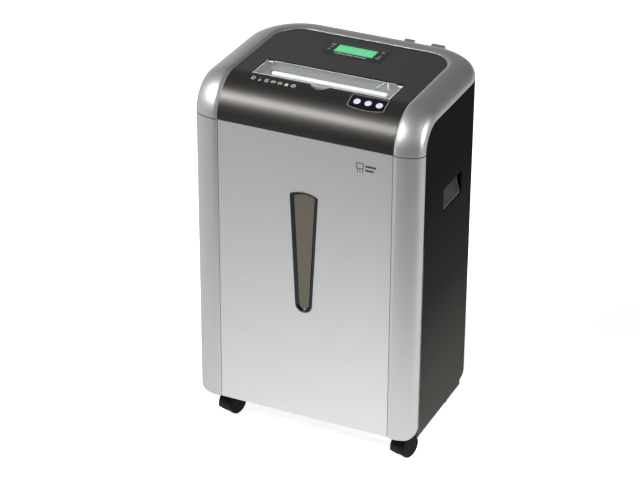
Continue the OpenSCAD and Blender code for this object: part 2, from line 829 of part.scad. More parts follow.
module power_rocker() {
    color("#b3261e") {
        along_x(inlet_x - 10.6, inlet_x + 10.6) translate([rocker_axis_y - 3, rocker_z]) rotate(8)
            polygon([[-3.2, -4], [-3.2, 4], [4.6, 6.8], [3.4, 0], [4.6, -6.8]]);
        along_x(inlet_x - 12.8, inlet_x + 12.8) translate([rocker_axis_y - 3, rocker_z]) circle(1.5);
    }
}

// ---------------------------------------------------------------- waste bin

// Window outline: arched top, tapering sides, round bottom.
function window_points(inset) =
    let (top_hw = win_top_hw - inset, low_hw = win_low_hw - inset, arch = win_arch - inset * 0.3,
        top = win_top_z - inset * 0.4, low = win_low_z + inset,
        r = (top_hw * top_hw + arch * arch) / (2 * arch), half = asin(top_hw / r))
    concat(arc(0, top + arch - r, r, 90 - half, 90 + half, 12),
        arc(0, low + low_hw, low_hw, 180, 360, 16));

door_top = arc_z - seam_gap;
door_side = door_hw - 0.8;
fascia_back = face_y + wall;
bin_front = fascia_back + 4.5;
bin_rear = 126;
bin_low = floor_gap + plate_t + 2.4;
pull_hw = 60;
pull_top = 86;

module front_fascia() {
    color("#c6c8c8") difference() {
        union() {
            box([-door_side, face_y, floor_gap], [door_side, fascia_back, door_top]);
            // folded edges
            both_sides() box([door_side - 2, face_y, floor_gap + 8], [door_side, fascia_back + 5, door_top]);
            box([-door_side, face_y, door_top - 2], [door_side, fascia_back + 5, door_top]);
            for (x = [-110, 110], z = [110, 430]) along_y(fascia_back - 1, bin_front)
                translate([x, z]) circle(7);
        }
        along_y(face_y - 1, fascia_back + 1) polygon(window_points(0));
    }
}

module window_frame() {
    color("#0d1622") along_y(face_y - 0.4, fascia_back + 1) difference() {
        polygon(window_points(0.25));
        polygon(window_points(win_ring));
    }
}

module window_lens() {
    color([0.33, 0.31, 0.26, 0.75]) along_y(face_y + 1.6, fascia_back + 1)
        polygon(window_points(win_ring + 0.02));
}

module waste_bin() {
    color("#2a2b2d") difference() {
        translate([0, 0, bin_low]) linear_extrude(bin_top - bin_low)
            rounded_rect([-bin_hw, bin_front], [bin_hw, bin_rear], 14);
        difference() {
            translate([0, 0, bin_low + bin_wall]) linear_extrude(bin_top)
                rounded_rect([bin_wall - bin_hw, bin_front + bin_wall],
                    [bin_hw - bin_wall, bin_rear - bin_wall], 14 - bin_wall);
            // back of the pull recess
            box([-pull_hw - bin_wall, bin_front, 0], [pull_hw + bin_wall, bin_front + 22 + bin_wall,
                pull_top + bin_wall]);
        }
        // space for the fingers behind the fascia's lower edge
        box([-pull_hw, bin_front - 5, 0], [pull_hw, bin_front + 22, pull_top]);
        // fill-level slot behind the window
        box([-11, bin_front - 1, win_low_z + 16], [11, bin_front + 5, bin_top - 18]);
    }
}

module bin_rails() {
    color("#a5a8aa") both_sides() {
        box([118, -122, floor_gap + plate_t], [143, 112, floor_gap + plate_t + 2]);
        box([141.2, -122, floor_gap + plate_t], [143, 112, floor_gap + plate_t + 20]);
    }
}

// ---------------------------------------------------------------- casters

axle_r = 3;
tread_w = 8.8;
web_hw = 3.6;
wheel_gap = 0.6;
hood_r = wheel_r + 3.6;

// Drawn about the swivel axis, with the axle along X and the wheels trailing towards -Y.
module caster_housing() {
    color("#0f1114") difference() {
        union() {
            // web between the wheels
            along_x(-web_hw, web_hw) {
                translate([-caster_trail, wheel_r]) circle(8);
                translate([-caster_trail - 6, wheel_r]) square([caster_trail + 12, 26]);
            }
            // hood over the wheels
            along_x(-web_hw - wheel_gap - tread_w, web_hw + wheel_gap + tread_w) intersection() {
                translate([-caster_trail, wheel_r]) difference() {
                    circle(hood_r);
                    circle(wheel_r + 1);
                }
                translate([-caster_trail - 18, wheel_r + 6]) square([60, 40]);
            }
            translate([0, 0, wheel_r + 18]) cylinder(h = floor_gap - 1 - wheel_r - 18, r = 10);
            cylinder(h = socket_top - 6, r = stem_r);
        }
        // the wheels' space, with the axle's bore
        translate([0, 0, -1]) cylinder(h = wheel_r - 3, r = stem_r + 1);
        along_x(-30, 30) translate([-caster_trail, wheel_r]) circle(axle_r + run);
        both_sides() along_x(web_hw, 40) translate([-caster_trail, wheel_r]) circle(wheel_r + 1);
    }
}

module caster_wheels() {
    color("#17191c") {
        both_sides() along_x(web_hw + wheel_gap, web_hw + wheel_gap + tread_w)
            translate([-caster_trail, wheel_r]) circle(wheel_r);
        along_x(-web_hw - 2, web_hw + 2) translate([-caster_trail, wheel_r]) circle(axle_r);
    }
}

module place_caster(at, turn) {
    translate(at) rotate([0, 0, turn]) children();
}
module caster_fl_housing() place_caster(front_left, caster_front_turn) caster_housing();
module caster_fr_housing() place_caster(front_right, caster_front_turn) caster_housing();
module caster_rl_housing() place_caster(rear_left, caster_rear_turn) caster_housing();
module caster_rr_housing() place_caster(rear_right, caster_rear_turn) caster_housing();
module caster_fl_wheels() place_caster(front_left, caster_front_turn) caster_wheels();
module caster_fr_wheels() place_caster(front_right, caster_front_turn) caster_wheels();
module caster_rl_wheels() place_caster(rear_left, caster_rear_turn) caster_wheels();
module caster_rr_wheels() place_caster(rear_right, caster_rear_turn) caster_wheels();

// ---------------------------------------------------------------- assembly

base_plate();
caster_sockets();
left_side_panel();
right_side_panel();
rear_cover();
rear_lugs();
cover_screws();
left_pillar();
right_pillar();
left_grip_cup();
right_grip_cup();
hood_rim();
top_cover();
feed_funnel();
guide_bar();
safety_flap();
flap_pins();
flap_sensor();
lcd_bezel();
lcd_module();
key_bezel();
key_board();
stop_key();
reverse_key();
forward_key();
deck();
left_cutter_plate();
right_cutter_plate();
cutter_bushes();
tie_rods();
front_cutter();
rear_cutter();
front_sync_gear();
rear_sync_gear();
final_gear();
front_stripper();
rear_stripper();
intermediate_gear();
intermediate_pin();
gearbox_plate();
motor();
motor_pinion();
cooling_fan();
control_board();
power_inlet();
power_rocker();
front_fascia();
window_frame();
window_lens();
waste_bin();
bin_rails();
caster_fl_housing();
caster_fr_housing();
caster_rl_housing();
caster_rr_housing();
caster_fl_wheels();
caster_fr_wheels();
caster_rl_wheels();
caster_rr_wheels();
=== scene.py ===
import math

import bmesh
import bpy
from mathutils import Matrix, Quaternion, Vector


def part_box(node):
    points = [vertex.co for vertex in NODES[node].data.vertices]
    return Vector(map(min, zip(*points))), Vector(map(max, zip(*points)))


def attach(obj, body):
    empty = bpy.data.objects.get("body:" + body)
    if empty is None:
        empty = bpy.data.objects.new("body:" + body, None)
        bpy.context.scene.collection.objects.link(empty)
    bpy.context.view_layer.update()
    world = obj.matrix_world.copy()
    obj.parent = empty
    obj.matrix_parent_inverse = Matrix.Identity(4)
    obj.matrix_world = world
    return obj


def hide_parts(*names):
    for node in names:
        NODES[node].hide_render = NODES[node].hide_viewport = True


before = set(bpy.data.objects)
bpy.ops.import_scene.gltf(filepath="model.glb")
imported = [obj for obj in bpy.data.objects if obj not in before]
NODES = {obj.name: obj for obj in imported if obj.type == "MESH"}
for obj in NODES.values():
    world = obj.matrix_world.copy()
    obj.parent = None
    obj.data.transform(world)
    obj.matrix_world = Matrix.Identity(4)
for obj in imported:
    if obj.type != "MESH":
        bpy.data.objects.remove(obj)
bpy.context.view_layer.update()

MM = 0.001
SCENE = bpy.context.scene

# ------------------------------------------------------------------ named sizes, in metres

HALF_W = 0.195
CROWN_Y = -0.152
CROWN_Z = 0.629
REAR_Y = 0.146
BAND_W = 0.045
BAND_DROP = 0.0235
BEVEL = 0.005
STEP = 0.0025
CROWN_R = 0.0645
REAR_R = 0.093
FLOOR_GAP = 0.055
WALL = 0.003
DOOR_HW = HALF_W - BAND_W
ARC_Y = CROWN_Y + CROWN_R
ARC_Z = CROWN_Z - CROWN_R
FACE_Y = CROWN_Y + STEP
TOP_Z = CROWN_Z - STEP
FACE_R = CROWN_R - STEP
CORNER_X = HALF_W - REAR_R
CORNER_Y = REAR_Y - REAR_R
SEAM = 0.0015
RIM_SKIRT = 0.012
PILLAR_SKIRT = 0.024
PILLAR_FOOT_R = 0.018


# ------------------------------------------------------------------ camera

CAMERA_AT = (1.3979, -3.1277, 2.1597)
CAMERA_YAW, CAMERA_PITCH, CAMERA_ROLL = 0.431, 0.495, 0.006
LENS_MM = 133.4
SENSOR_MM = 36
CLIP_END = 60


def make_camera():
    yaw, pitch, roll = CAMERA_YAW, CAMERA_PITCH, CAMERA_ROLL
    fwd = Vector((-math.sin(yaw) * math.cos(pitch), math.cos(yaw) * math.cos(pitch), -math.sin(pitch)))
    level = Vector((math.cos(yaw), math.sin(yaw), 0))
    upright = level.cross(fwd)
    right = level * math.cos(roll) + upright * math.sin(roll)
    up = upright * math.cos(roll) - level * math.sin(roll)
    data = bpy.data.cameras.new("camera")
    data.sensor_width = SENSOR_MM
    data.lens = LENS_MM
    data.clip_end = CLIP_END
    cam = bpy.data.objects.new("camera", data)
    turn = Matrix((right, up, -fwd)).transposed()
    cam.matrix_world = Matrix.Translation(CAMERA_AT) @ turn.to_4x4()
    SCENE.collection.objects.link(cam)
    SCENE.camera = cam


make_camera()


# ------------------------------------------------------------------ material kit

def map_range(tree, value, low, high, start, end):
    """Maps start to end of a value to low to high, clamped."""
    node = tree.nodes.new("ShaderNodeMapRange")
    for name, number in (("From Min", start), ("From Max", end), ("To Min", low), ("To Max", high)):
        node.inputs[name].default_value = number
    tree.links.new(value, node.inputs["Value"])
    return node.outputs["Result"]


def math_node(tree, operation, *values):
    """A Math node; each value is a float or another node's output."""
    node = tree.nodes.new("ShaderNodeMath")
    node.operation = operation
    for socket, value in zip(node.inputs, values):
        if isinstance(value, float):
            socket.default_value = value
        else:
            tree.links.new(value, socket)
    return node.outputs[0]


def split_xyz(tree, coord):
    node = tree.nodes.new("ShaderNodeSeparateXYZ")
    tree.links.new(coord, node.inputs[0])
    return node.outputs


def three_stop_ramp(tree, first, middle_at, middle, last):
    """A colour ramp from first through middle, at middle_at, to last."""
    node = tree.nodes.new("ShaderNodeValToRGB")
    stops = node.color_ramp.elements
    stops[0].position, stops[0].color = 0.0, (*first, 1)
    stops[1].position, stops[1].color = 1.0, (*last, 1)
    stops.new(middle_at).color = (*middle, 1)
    return node


class Finish:
    """A procedural material on the Principled shader, textured in the object's own metres."""

    def __init__(self, name, color, rough, metallic=0.0, **sockets):
        self.m = bpy.data.materials.new(name)
        self.m.use_nodes = True
        self.tree = self.m.node_tree
        self.p = self.tree.nodes["Principled BSDF"]
        self.color, self.rough = color, rough
        self.p.inputs["Base Color"].default_value = (*color, 1)
        self.p.inputs["Roughness"].default_value = rough
        self.p.inputs["Metallic"].default_value = metallic
        for key, value in sockets.items():
            self.p.inputs[key.replace("_", " ")].default_value = value
        self.coord = self.tree.nodes.new("ShaderNodeTexCoord").outputs["Object"]
        self.normal = None

    def link(self, a, b):
        self.tree.links.new(a, b)

    def noise(self, per_m, stretch=(1, 1, 1), detail=3, rough=0.55):
        mapping = self.tree.nodes.new("ShaderNodeMapping")
        mapping.inputs["Scale"].default_value = stretch
        self.link(self.coord, mapping.inputs["Vector"])
        node = self.tree.nodes.new("ShaderNodeTexNoise")
        node.inputs["Scale"].default_value = per_m
        node.inputs["Detail"].default_value = detail
        node.inputs["Roughness"].default_value = rough
        self.link(mapping.outputs["Vector"], node.inputs["Vector"])
        return node.outputs["Fac"]

    def spread(self, fac, low, high, start=0.3, end=0.7):
        return map_range(self.tree, fac, low, high, start, end)

    def tone(self, fac, amount, other=None):
        """Varies the colour between a darker and a lighter tone of itself."""
        ramp = self.tree.nodes.new("ShaderNodeValToRGB")
        low = [c * (1 - amount) for c in self.color]
        high = other or [min(1, c * (1 + amount)) for c in self.color]
        ramp.color_ramp.elements[0].position = 0.3
        ramp.color_ramp.elements[1].position = 0.7
        ramp.color_ramp.elements[0].color = (*low, 1)
        ramp.color_ramp.elements[1].color = (*high, 1)
        self.link(fac, ramp.inputs["Fac"])
        self.link(ramp.outputs["Color"], self.p.inputs["Base Color"])
        return self

    def vary_rough(self, fac, amount):
        self.link(self.spread(fac, self.rough - amount, self.rough + amount), self.p.inputs["Roughness"])
        return self

    def bump(self, fac, height, strength=1.0):
        node = self.tree.nodes.new("ShaderNodeBump")
        node.inputs["Distance"].default_value = height
        node.inputs["Strength"].default_value = strength
        self.link(fac, node.inputs["Height"])
        if self.normal is not None:
            self.link(self.normal, node.inputs["Normal"])
        self.normal = node.outputs["Normal"]
        self.link(self.normal, self.p.inputs["Normal"])
        return self


def painted(name, color, rough, metallic, flake=0.06, **more):
    f = Finish(name, color, rough, metallic, **more)
    f.tone(f.noise(2600, detail=2), flake)
    f.vary_rough(f.noise(40, detail=4), 0.02)
    f.bump(f.noise(1400, detail=2), 0.000003, 0.5)
    return f.m


def moulded(name, color, rough, grain=900, height=0.00004, amount=0.12, **more):
    f = Finish(name, color, rough, **more)
    f.tone(f.noise(grain * 0.7, detail=3), amount)
    f.vary_rough(f.noise(25, detail=4), 0.012)
    f.bump(f.noise(grain, detail=3, rough=0.6), height, 0.6)
    return f.m


def brushed(name, color, rough, stretch, metallic=1.0, amount=0.06, height=0.00001, **more):
    f = Finish(name, color, rough, metallic, **more)
    f.tone(f.noise(1, stretch, detail=4), amount)
    f.vary_rough(f.noise(1, [s * 0.6 for s in stretch], detail=3), 0.05)
    f.bump(f.noise(1, stretch, detail=3), height, 0.7)
    return f.m


def polished(name, color, rough=0.12, amount=0.08, **more):
    f = Finish(name, color, rough, **more)
    f.tone(f.noise(150, detail=4), amount)
    f.vary_rough(f.noise(90, detail=5), 0.03)
    f.bump(f.noise(60, detail=2), 0.00002, 0.3)
    return f.m


def shell_painted_paler_low(name):
    """Grained black moulding, painted paler towards the floor: painted light reflected up from the floor."""
    # from black at the top through mid to pale at the foot: painted floor light
    black, painted_floor_light_mid, pale = (0.008, 0.0078, 0.0074), (0.017, 0.0165, 0.0155), (0.052, 0.050, 0.046)
    f = Finish(name, black, 0.55, Specular_IOR_Level=0.0)
    height = f.spread(split_xyz(f.tree, f.coord)["Z"], 0.0, 1.0, start=0.05, end=0.5)
    ramp = three_stop_ramp(f.tree, pale, 0.55, painted_floor_light_mid, black)
    f.link(height, ramp.inputs["Fac"])
    grain = f.spread(f.noise(800, detail=3), 0.86, 1.14)
    mix = f.tree.nodes.new("ShaderNodeVectorMath")
    mix.operation = "SCALE"
    f.link(ramp.outputs["Color"], mix.inputs[0])
    f.link(grain, mix.inputs["Scale"])
    f.link(mix.outputs["Vector"], f.p.inputs["Base Color"])
    f.vary_rough(f.noise(25, detail=4), 0.012)
    f.bump(f.noise(1100, detail=3, rough=0.6), 0.00002, 0.6)
    return f.m


SILVER = painted("silver_paint", (0.35, 0.352, 0.358), 0.44, 0.9, Specular_Tint=(0.8, 0.8, 0.81, 1))
FRONT = brushed("brushed_front", (0.42, 0.42, 0.412), 0.42, (1500, 1500, 160), metallic=0.9, amount=0.035)
COVER = moulded("black_cover", (0.0048, 0.0045, 0.0042), 0.37, grain=1500, height=0.00002,
                Specular_IOR_Level=0.45, Specular_Tint=(1, 0.96, 0.91, 1))
SHELL = shell_painted_paler_low("black_shell")
GREY = moulded("grey_plastic", (0.16, 0.167, 0.168), 0.38)
WHITE = moulded("white_plastic", (0.8, 0.8, 0.77), 0.3, height=0.00001, amount=0.04, Specular_IOR_Level=0.3)
NAVY = polished("navy_gloss", (0.006, 0.0085, 0.015), Specular_IOR_Level=0.2)
PITCH = polished("pitch_gloss", (0.0025, 0.0027, 0.0034), 0.2, Specular_IOR_Level=0.2)
KEY = moulded("key_lens", (0.41, 0.42, 0.55), 0.25, height=0.00001, amount=0.03, Specular_IOR_Level=0.2)
BOARD = polished("board", (0.02, 0.13, 0.06), 0.4)
SHEET = brushed("sheet_steel", (0.52, 0.53, 0.54), 0.38, (60, 60, 900))
TOOL = brushed("tool_steel", (0.36, 0.37, 0.38), 0.3, (900, 60, 60))
GEAR = brushed("gear_steel", (0.28, 0.29, 0.3), 0.4, (200, 700, 700))
NYLON = moulded("gear_nylon", (0.6, 0.58, 0.48), 0.45)
BRONZE = brushed("bronze", (0.55, 0.38, 0.17), 0.4, (300, 600, 600))
MOTOR = painted("motor_case", (0.03, 0.032, 0.036), 0.4, 0.2)
RED = moulded("rocker_red", (0.42, 0.02, 0.015), 0.25, height=0.00001)
GRIP = moulded("grip_plastic", (0.026, 0.0255, 0.024), 0.5, grain=1100, height=0.00002, Specular_IOR_Level=0.05)
CASTER = moulded("caster_black", (0.002, 0.003, 0.0048), 0.25, grain=1200, Specular_IOR_Level=0.08)
TYRE = moulded("tyre", (0.0022, 0.003, 0.0045), 0.5, grain=1500, height=0.00006, Specular_IOR_Level=0.05)
GREEN = moulded("screen", (0.082, 0.44, 0.19), 0.3, height=0.000005, amount=0.1,
                Emission_Color=(0.085, 0.47, 0.2, 1), Emission_Strength=0.08)
CLEAR = polished("clear_flap", (0.45, 0.48, 0.49), 0.08, amount=0.05, Alpha=0.12)
# pale colour for painted highlights on the flap's edges and ribs
EDGE = polished("clear_edge", (0.66, 0.68, 0.66), 0.15, amount=0.05)
SMOKED = polished("smoked_lens", (0.075, 0.066, 0.047), 0.1, amount=0.05, Specular_IOR_Level=0.25)
# pale grey for painted highlights along edges
PAINTED_GLINT = moulded("painted_edge_glint", (0.14, 0.136, 0.128), 0.5, height=0.000002, amount=0.25)
INK_BUMP = 0.000001
INK = moulded("ink_white", (0.5, 0.49, 0.46), 0.5, height=INK_BUMP, amount=0.05)
INK_LINE = moulded("ink_line", (0.14, 0.134, 0.122), 0.4, height=INK_BUMP, amount=0.08)
INK_KEY = moulded("ink_key", (0.2, 0.205, 0.27), 0.4, height=INK_BUMP, amount=0.05)
SCREEN_INK = moulded("screen_ink", (0.03, 0.2, 0.09), 0.4, height=INK_BUMP, amount=0.05)
EMBLEM = moulded("emblem_ink", (0.012, 0.011, 0.01), 0.4, height=INK_BUMP, amount=0.1)

LOOK = {
    SILVER: ["left_pillar", "right_pillar", "hood_rim", "rear_lugs"],
    FRONT: ["front_fascia"],
    COVER: ["top_cover"],
    GRIP: ["left_grip_cup", "right_grip_cup"],
    SHELL: ["left_side_panel", "right_side_panel", "rear_cover", "waste_bin", "base_plate",
            "front_stripper", "rear_stripper", "flap_sensor"],
    GREY: ["feed_funnel"],
    WHITE: ["guide_bar", "cooling_fan"],
    CLEAR: ["safety_flap"],
    SMOKED: ["window_lens"],
    NAVY: ["window_frame", "lcd_bezel", "power_inlet"],
    PITCH: ["key_bezel"],
    GREEN: ["lcd_module"],
    KEY: ["stop_key", "reverse_key", "forward_key"],
    BOARD: ["key_board", "control_board"],
    SHEET: ["deck", "left_cutter_plate", "right_cutter_plate", "gearbox_plate", "bin_rails", "caster_sockets",
            "tie_rods", "intermediate_pin", "flap_pins", "cover_screws"],
    TOOL: ["front_cutter", "rear_cutter"],
    GEAR: ["front_sync_gear", "rear_sync_gear", "final_gear", "motor_pinion"],
    NYLON: ["intermediate_gear"],
    BRONZE: ["cutter_bushes"],
    MOTOR: ["motor"],
    RED: ["power_rocker"],
    CASTER: ["caster_fl_housing", "caster_fr_housing", "caster_rl_housing", "caster_rr_housing"],
    TYRE: ["caster_fl_wheels", "caster_fr_wheels", "caster_rl_wheels", "caster_rr_wheels"],
}
for material, names in LOOK.items():
    for name in names:
        mesh = NODES[name].data
        mesh.materials.clear()
        mesh.materials.append(material)


# ------------------------------------------------------------------ mesh kit

def arc(cx, cy, r, start, end, n):
    """Points on a circle from one angle to another, in degrees."""
    steps = [math.radians(start + (end - start) * i / n) for i in range(n + 1)]
    return [(cx + r * math.cos(a), cy + r * math.sin(a)) for a in steps]


def piece(name, verts, faces, material, slot, body, stands_for=(), edge=0.0004, crease=32, solid=True):
    """A named mesh with softly rounded edges that rides on a body."""
    mesh = bpy.data.meshes.new(name)
    mesh.from_pydata([tuple(v) for v in verts], [], faces)
    bm = bmesh.new()
    bm.from_mesh(mesh)
    bmesh.ops.remove_doubles(bm, verts=bm.verts, dist=1e-6)
    if solid:
        bmesh.ops.recalc_face_normals(bm, faces=bm.faces)
    bm.to_mesh(mesh)
    bm.free()
    mesh.polygons.foreach_set("use_smooth", [True] * len(mesh.polygons))
    mesh.materials.append(material)
    obj = bpy.data.objects.new(name, mesh)
    SCENE.collection.objects.link(obj)
    soften(obj, edge, crease)
    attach(obj, body)
    if stands_for:
        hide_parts(*stands_for)
    return obj


def soften(obj, edge, crease=32, segments=2):
    """Rounds the edges sharper than the crease angle and evens the shading."""
    if edge > 0:
        bevel = obj.modifiers.new("edges", "BEVEL")
        bevel.width = edge
        bevel.segments = segments
        bevel.limit_method = "ANGLE"
        bevel.angle_limit = math.radians(crease)
        bevel.harden_normals = False
        bevel.miter_outer = "MITER_ARC"
    weigh = obj.modifiers.new("normals", "WEIGHTED_NORMAL")
    weigh.keep_sharp = True


def skin(rows, closed=True, caps=True):
    """Quads between rows of equally many points; the ends may be capped."""
    n = len(rows[0])
    verts = [p for row in rows for p in row]
    faces = []
    for i in range(len(rows) - 1):
        for j in range(n if closed else n - 1):
            k = (j + 1) % n
            faces.append((i * n + j, i * n + k, (i + 1) * n + k, (i + 1) * n + j))
    if caps:
        faces.append(tuple(range(n - 1, -1, -1)))
        faces.append(tuple((len(rows) - 1) * n + j for j in range(n)))
    return verts, faces


def shell(outer_rows, inner_rows):
    """A wall between an outer and an inner sheet of the same grid, closed all round."""
    n, m = len(outer_rows), len(outer_rows[0])
    verts = [p for row in outer_rows for p in row] + [p for row in inner_rows for p in row]
    o = n * m
    faces = []
    for i in range(n - 1):
        for j in range(m - 1):
            a = i * m + j
            faces.append((a, a + 1, a + m + 1, a + m))
            faces.append((o + a, o + a + m, o + a + m + 1, o + a + 1))
    for i in range(n - 1):
        for j in (0, m - 1):
            a, b = i * m + j, (i + 1) * m + j
            faces.append((a, b, o + b, o + a))
    for j in range(m - 1):
        for i in (0, n - 1):
            a = i * m + j
            faces.append((a, a + 1, o + a + 1, o + a))
    return verts, faces


def revolve(profile, n, place):
    """Turns (radius, height) points round an axis; place maps (x, y, z) to the object's frame."""
    rows = []
    for i in range(n):
        a = 2 * math.pi * i / n
        rows.append([place(r * math.cos(a), r * math.sin(a), h) for r, h in profile])
    m = len(profile)
    verts = [p for row in rows for p in row]
    faces = []
    for i in range(n):
        k = (i + 1) % n
        for j in range(m - 1):
            faces.append((i * m + j, k * m + j, k * m + j + 1, i * m + j + 1))
    closed = profile[0] == profile[-1]
    if profile[0][0] > 1e-6 and not closed:
        faces.append(tuple(i * m for i in range(n - 1, -1, -1)))
    if profile[-1][0] > 1e-6 and not closed:
        faces.append(tuple(i * m + m - 1 for i in range(n)))
    return verts, faces


def join(*parts):
    """One mesh from several (verts, faces) parts."""
    verts, faces = [], []
    for v, f in parts:
        base = len(verts)
        verts += v
        faces += [tuple(base + i for i in face) for face in f]
    return verts, faces


# ------------------------------------------------------------------ silver band

SIDE_R = 0.017
OVER_W = BAND_W - BEVEL
OVER_R = ((OVER_W - SIDE_R) ** 2 + BAND_DROP ** 2 - SIDE_R ** 2) / (2 * (BAND_DROP - SIDE_R))
JOIN = math.degrees(math.atan2(OVER_R - BAND_DROP, OVER_W - SIDE_R))
CURVE_STEPS = 28
STRAIGHT_STEPS = 4
PILLAR_STEPS = 40


def band_line(inset, skirt):
    """Points across the band, from its skirt over the bevel and crown to its side."""
    line = [(inset, -skirt), (inset, -STEP - inset * 0.5)]
    line += arc(BEVEL, -OVER_R, OVER_R - inset, 90, JOIN, 14)
    line += arc(BAND_W - SIDE_R, -BAND_DROP, SIDE_R - inset, JOIN, 0, 12)[1:]
    return line


def rim_frames():
    """Stations round the hood: where the band's inner edge lies, its outward and its up direction."""
    frames = []
    for i in range(CURVE_STEPS + 1):
        a = math.radians(180 - 90 * i / CURVE_STEPS)
        up = Vector((0, math.cos(a), math.sin(a)))
        frames.append((Vector((DOOR_HW, ARC_Y, ARC_Z)) + up * CROWN_R, Vector((1, 0, 0)), up))
    for i in range(1, STRAIGHT_STEPS + 1):
        y = ARC_Y + (CORNER_Y - ARC_Y) * i / STRAIGHT_STEPS
        frames.append((Vector((DOOR_HW, y, CROWN_Z)), Vector((1, 0, 0)), Vector((0, 0, 1))))
    inner = REAR_R - BAND_W
    for i in range(1, CURVE_STEPS + 1):
        a = math.radians(90 * i / CURVE_STEPS)
        out = Vector((math.cos(a), math.sin(a), 0))
        frames.append((Vector((CORNER_X, CORNER_Y, CROWN_Z)) + out * inner, out, Vector((0, 0, 1))))
    frames.append((Vector((0, REAR_Y - BAND_W, CROWN_Z)), Vector((0, 1, 0)), Vector((0, 0, 1))))
    return frames


def make_rim():
    half = rim_frames()
    rest = [(Vector((-p.x, p.y, p.z)), Vector((-u.x, u.y, u.z)), v) for p, u, v in reversed(half[:-1])]
    stations = half + rest
    outer = [[p + u * a + v * b for a, b in band_line(0, RIM_SKIRT)] for p, u, v in stations]
    inner = [[p + u * a + v * b for a, b in band_line(WALL, RIM_SKIRT)] for p, u, v in stations]
    piece("hood_band", *shell(outer, inner), SILVER, "silver_paint", "cabinet", ["hood_rim"], edge=0.0005)


def make_pillar(side, name):
    """A rounded silver pillar whose foot curves up at its outer side, with a plate that closes the foot."""
    top = ARC_Z - SEAM

    def low(x):
        over = abs(x) - (HALF_W - PILLAR_FOOT_R)
        if over <= 0:
            return FLOOR_GAP
        return FLOOR_GAP + PILLAR_FOOT_R - math.sqrt(max(0, PILLAR_FOOT_R ** 2 - over ** 2))

    def sheet(inset):
        rows = []
        for i in range(PILLAR_STEPS + 1):
            row = []
            for a, b in band_line(inset, PILLAR_SKIRT):
                x = side * (DOOR_HW + a)
                # rows gather near the rounded foot
                row.append(Vector((x, CROWN_Y - b, low(x) + (top - low(x)) * (i / PILLAR_STEPS) ** 1.6)))
            rows.append(row)
        return rows

    def plate(level):
        inside = [Vector((side * (DOOR_HW + a), CROWN_Y - b, low(side * (DOOR_HW + a)) + level))
                  for a, b in band_line(WALL - 0.0004, BAND_DROP)[1:]]
        return inside, [Vector((p.x, CROWN_Y + BAND_DROP, p.z)) for p in inside]

    wall = shell(sheet(0), sheet(WALL))
    foot = shell(plate(0.0002), plate(0.0025))
    piece(name + "_shell", *join(wall, foot), SILVER, "silver_paint", "cabinet", [name], edge=0.0005)


make_rim()
make_pillar(-1, "left_pillar")
make_pillar(1, "right_pillar")


# ------------------------------------------------------------------ window

WIN_TOP_HW = 0.0245
WIN_LOW_HW = 0.015
WIN_TOP_Z = 0.4615
WIN_LOW_Z = 0.251
WIN_ARCH = 0.0065
WIN_RING = 0.0076
PANE_FRONT, PANE_BACK = 0.0024, 0.0039


def window_line(inset):
    """The window's outline drawn in by a distance, with rounded top corners."""
    top_hw, low_hw = WIN_TOP_HW - inset, WIN_LOW_HW - inset
    arch = WIN_ARCH - inset * 0.3
    top, low = WIN_TOP_Z - inset * 0.4, WIN_LOW_Z + inset
    r = (top_hw ** 2 + arch ** 2) / (2 * arch)
    half = math.degrees(math.asin(top_hw / r))
    soft = max(0.0012, 0.004 - inset * 0.35)
    line = arc(0, top + arch - r, r, 90 - half + 4.5, 90 + half - 4.5, 16)
    # corner between arch and flank
    line += [(-top_hw + soft * 0.35, top - soft * 0.15), (-top_hw + soft * 0.08, top - soft * 0.7)]
    line += arc(0, low + low_hw, low_hw, 180, 360, 24)
    line += [(top_hw - soft * 0.08, top - soft * 0.7), (top_hw - soft * 0.35, top - soft * 0.15)]
    return line


def make_window():
    """The bevelled frame, swept round from its outer foot over its crest to the pane, and the smoked pane."""
    section = [(0.00025, 0.0040), (0.00025, -0.0003), (0.0009, -0.0010), (0.0022, -0.0012), (0.0031, -0.0006),
               (0.0042, 0.0010), (0.0058, 0.0030), (WIN_RING, 0.0034), (WIN_RING, 0.0040)]
    rows = [[Vector((x, FACE_Y + depth, z)) for x, z in window_line(inset)] for inset, depth in section]
    rows.append(rows[0])
    piece("window_surround", *skin(rows, caps=False), NAVY, "navy_gloss", "drawer", ["window_frame"], edge=0)
    pane = [[Vector((x, FACE_Y + depth, z)) for x, z in window_line(WIN_RING - 0.0012)]
            for depth in (PANE_FRONT, PANE_BACK)]
    piece("window_pane", *skin(pane), SMOKED, "smoked_lens", "drawer", ["window_lens"], edge=0.0002)


make_window()


# ------------------------------------------------------------------ marks printed on the panels

def stroke(points, width):
    """A flat line of a given width along 2-D points, as quads."""
    verts, faces = [], []
    for (ax, ay), (bx, by) in zip(points, points[1:]):
        d = Vector((bx - ax, by - ay))
        side = Vector((-d.y, d.x)).normalized() * width / 2
        ext = d.normalized() * width * 0.3
        base = len(verts)
        verts += [(ax - ext.x + side.x, ay - ext.y + side.y), (bx + ext.x + side.x, by + ext.y + side.y),
                  (bx + ext.x - side.x, by + ext.y - side.y), (ax - ext.x - side.x, ay - ext.y - side.y)]
        faces.append((base, base + 1, base + 2, base + 3))
    return verts, faces


def ring(cx, cy, r, width, start=0, end=360, n=28):
    """A round line, open where start and end leave a gap."""
    return stroke(arc(cx, cy, r, start, end, n), width)


def rect(cx, cy, w, h):
    return [(cx - w / 2, cy - h / 2), (cx + w / 2, cy - h / 2), (cx + w / 2, cy + h / 2),
            (cx - w / 2, cy + h / 2)], [(0, 1, 2, 3)]


def frame_of(cx, cy, w, h, line):
    """The outline of a rectangle."""
    x0, x1, y0, y1 = cx - w / 2, cx + w / 2, cy - h / 2, cy + h / 2
    return stroke([(x0, y0), (x1, y0), (x1, y1), (x0, y1), (x0, y0)], line)


def shift(part, dx, dy, scale=1.0):
    """Scales a flat part about its own origin and moves it."""
    return [(x * scale + dx, y * scale + dy) for x, y in part[0]], part[1]


